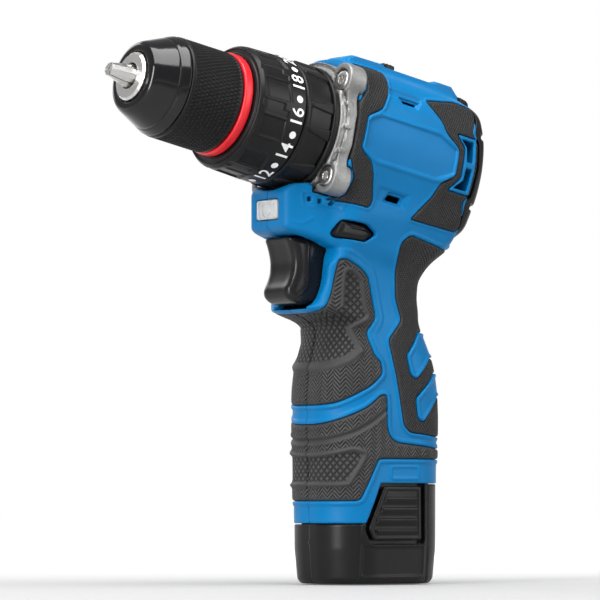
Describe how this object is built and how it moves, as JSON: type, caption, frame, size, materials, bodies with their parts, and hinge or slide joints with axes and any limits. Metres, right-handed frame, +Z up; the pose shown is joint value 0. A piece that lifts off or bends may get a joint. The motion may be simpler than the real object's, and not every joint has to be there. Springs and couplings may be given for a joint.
{
  "type": "cordless drill",
  "caption": "Pistol-grip cordless drill driver with keyless three-jaw chuck, numbered torque ring, two-speed slider, sprung trigger and stick battery sliding into the grip.",
  "frame": {"origin": "centre of the battery's flat underside, which the drill stands on", "axes": "+X towards the chuck's nose, +Y the tool's left side, +Z up along the grip"},
  "size_m": [0.1613, 0.0556, 0.1996],
  "materials": {
    "housing_blue": "satin moulded nylon, lightly textured",
    "grip_rubber": "matt overmoulded elastomer with fine raised pattern",
    "black_plastic": "satin black plastic",
    "gloss_black": "polished black",
    "ring_red": "satin red plastic",
    "cast_aluminium": "tumbled die casting",
    "bright_steel": "bright turned steel",
    "dark_steel": "oiled steel",
    "circuit_board": "solder mask",
    "lamp_clear": "clear polycarbonate with faceted back",
    "cell_wrap": "shrink wrap"
  },
  "bodies": {
    "drill_body": {"housing_left": "housing_blue", "housing_right": "housing_blue", "shoulder_pad_left": "grip_rubber", "shoulder_pad_right": "grip_rubber", "rear_pad_left": "grip_rubber", "rear_pad_right": "grip_rubber", "front_grip_pad_left": "grip_rubber", "front_grip_pad_right": "grip_rubber", "lower_grip_pad_left": "grip_rubber", "lower_grip_pad_right": "grip_rubber", "back_strap_pad_left": "grip_rubber", "back_strap_pad_right": "grip_rubber", "rear_cap": "black_plastic", "gearbox_flange": "cast_aluminium", "flange_screw_1": "bright_steel", "flange_screw_2": "bright_steel", "flange_screw_3": "bright_steel", "flange_screw_4": "bright_steel", "dust_ring": "housing_blue", "gearbox_case": "dark_steel", "ring_gear_1": "dark_steel", "ring_gear_2": "dark_steel", "clutch_spring": "dark_steel", "motor_can": "dark_steel", "rear_bearing": "bright_steel", "switch_module": "black_plastic", "controller_board": "circuit_board", "terminal_block": "black_plastic", "lamp_lens": "lamp_clear"},
    "motor_rotor": {"rotor": "dark_steel", "sun_pinion": "dark_steel", "fan": "black_plastic"},
    "first_carrier": {"carrier_1": "dark_steel"},
    "planet_1_1": {"planet_1_1": "dark_steel"},
    "planet_1_2": {"planet_1_2": "dark_steel"},
    "planet_1_3": {"planet_1_3": "dark_steel"},
    "spindle": {"output_spindle": "dark_steel", "chuck_body": "bright_steel", "lock_ring": "ring_red"},
    "planet_2_1": {"planet_2_1": "dark_steel"},
    "planet_2_2": {"planet_2_2": "dark_steel"},
    "planet_2_3": {"planet_2_3": "dark_steel"},
    "chuck_grip": {"chuck_sleeve": "black_plastic", "chuck_nose": "gloss_black", "chuck_nut": "dark_steel"},
    "jaw_1": {"jaw_1": "bright_steel"},
    "jaw_2": {"jaw_2": "bright_steel"},
    "jaw_3": {"jaw_3": "bright_steel"},
    "torque_ring": {"torque_ring": "black_plastic"},
    "mode_ring": {"mode_ring": "black_plastic"},
    "trigger": {"trigger": "black_plastic"},
    "direction_selector": {"direction_selector": "black_plastic"},
    "speed_slider": {"speed_slider": "black_plastic"},
    "battery": {"battery_case": "black_plastic", "battery_cell_1": "cell_wrap", "battery_cell_2": "cell_wrap", "battery_cell_3": "cell_wrap"},
    "latch_left": {"latch_left": "black_plastic"},
    "latch_right": {"latch_right": "black_plastic"}
  },
  "joints": [
    {"name": "rotor_spin", "type": "hinge", "parent": "drill_body", "child": "motor_rotor", "pos_m": [-0.00073, 0, 0.16201], "axis": [0.9796, 0, 0.2007], "continuous": true},
    {"name": "carrier_spin", "type": "hinge", "parent": "drill_body", "child": "first_carrier", "pos_m": [0.03649, 0, 0.16964], "axis": [0.9796, 0, 0.2007], "continuous": true},
    {"name": "spindle_spin", "type": "hinge", "parent": "drill_body", "child": "spindle", "pos_m": [0.0698, 0, 0.17646], "axis": [0.9796, 0, 0.2007], "continuous": true},
    {"name": "planet_1_1_spin", "type": "hinge", "parent": "first_carrier", "child": "planet_1_1", "pos_m": [0.03159, 0.0105, 0.16863], "axis": [0.9796, 0, 0.2007], "continuous": true},
    {"name": "planet_1_2_spin", "type": "hinge", "parent": "first_carrier", "child": "planet_1_2", "pos_m": [0.02977, -0.00525, 0.17754], "axis": [0.9796, 0, 0.2007], "continuous": true},
    {"name": "planet_1_3_spin", "type": "hinge", "parent": "first_carrier", "child": "planet_1_3", "pos_m": [0.03342, -0.00525, 0.15972], "axis": [0.9796, 0, 0.2007], "continuous": true},
    {"name": "planet_2_1_spin", "type": "hinge", "parent": "spindle", "child": "planet_2_1", "pos_m": [0.04139, 0.0105, 0.17064], "axis": [0.9796, 0, 0.2007], "continuous": true},
    {"name": "planet_2_2_spin", "type": "hinge", "parent": "spindle", "child": "planet_2_2", "pos_m": [0.03957, -0.00525, 0.17955], "axis": [0.9796, 0, 0.2007], "continuous": true},
    {"name": "planet_2_3_spin", "type": "hinge", "parent": "spindle", "child": "planet_2_3", "pos_m": [0.04322, -0.00525, 0.16173], "axis": [0.9796, 0, 0.2007], "continuous": true},
    {"name": "chuck_turn", "type": "hinge", "parent": "spindle", "child": "chuck_grip", "pos_m": [0.08058, 0, 0.17867], "axis": [0.9796, 0, 0.2007], "range_deg": [0, 2160]},
    {"name": "jaw_1_slide", "type": "slide", "parent": "spindle", "child": "jaw_1", "axis": [-0.9918, -0.126, 0.0196], "range_m": [0, 0.01401]},
    {"name": "jaw_2_slide", "type": "slide", "parent": "spindle", "child": "jaw_2", "axis": [-0.9042, -0.126, -0.4081], "range_m": [0, 0.01401]},
    {"name": "jaw_3_slide", "type": "slide", "parent": "spindle", "child": "jaw_3", "axis": [-0.948, 0.2521, -0.1943], "range_m": [0, 0.01401]},
    {"name": "torque_select", "type": "hinge", "parent": "drill_body", "child": "torque_ring", "pos_m": [0.05511, 0, 0.17345], "axis": [0.9796, 0, 0.2007], "range_deg": [0, 327]},
    {"name": "mode_select", "type": "hinge", "parent": "drill_body", "child": "mode_ring", "pos_m": [0.03943, 0, 0.17024], "axis": [0.9796, 0, 0.2007], "range_deg": [-30, 30]},
    {"name": "trigger_pull", "type": "slide", "parent": "drill_body", "child": "trigger", "axis": [-1, 0, 0], "range_m": [0, 0.006], "stiffness_N_per_m": 700, "springref_m": -0.002},
    {"name": "direction_shift", "type": "slide", "parent": "drill_body", "child": "direction_selector", "axis": [0, 1, 0], "range_m": [-0.0025, 0.0025]},
    {"name": "speed_shift", "type": "slide", "parent": "drill_body", "child": "speed_slider", "axis": [-0.9796, 0, -0.2007], "range_m": [0, 0.0085]},
    {"name": "battery_release", "type": "slide", "parent": "drill_body", "child": "battery", "axis": [0, 0, -1], "range_m": [0, 0.08]},
    {"name": "latch_left_press", "type": "slide", "parent": "battery", "child": "latch_left", "axis": [0, -1, 0], "range_m": [0, 0.0012], "stiffness_N_per_m": 800, "springref_m": -0.001},
    {"name": "latch_right_press", "type": "slide", "parent": "battery", "child": "latch_right", "axis": [0, 1, 0], "range_m": [0, 0.0012], "stiffness_N_per_m": 800, "springref_m": -0.001}
  ],
  "couplings": [
    {"joint": "carrier_spin", "follows": "rotor_spin", "ratio": 0.2},
    {"joint": "spindle_spin", "follows": "rotor_spin", "ratio": 0.04},
    {"joint": "planet_1_1_spin", "follows": "rotor_spin", "ratio": -0.53333},
    {"joint": "planet_1_2_spin", "follows": "rotor_spin", "ratio": -0.53333},
    {"joint": "planet_1_3_spin", "follows": "rotor_spin", "ratio": -0.53333},
    {"joint": "planet_2_1_spin", "follows": "rotor_spin", "ratio": -0.10667},
    {"joint": "planet_2_2_spin", "follows": "rotor_spin", "ratio": -0.10667},
    {"joint": "planet_2_3_spin", "follows": "rotor_spin", "ratio": -0.10667},
    {"joint": "jaw_1_slide", "follows": "chuck_turn", "m_per_rad": 0.00037136},
    {"joint": "jaw_2_slide", "follows": "chuck_turn", "m_per_rad": 0.00037136},
    {"joint": "jaw_3_slide", "follows": "chuck_turn", "m_per_rad": 0.00037136}
  ]
}
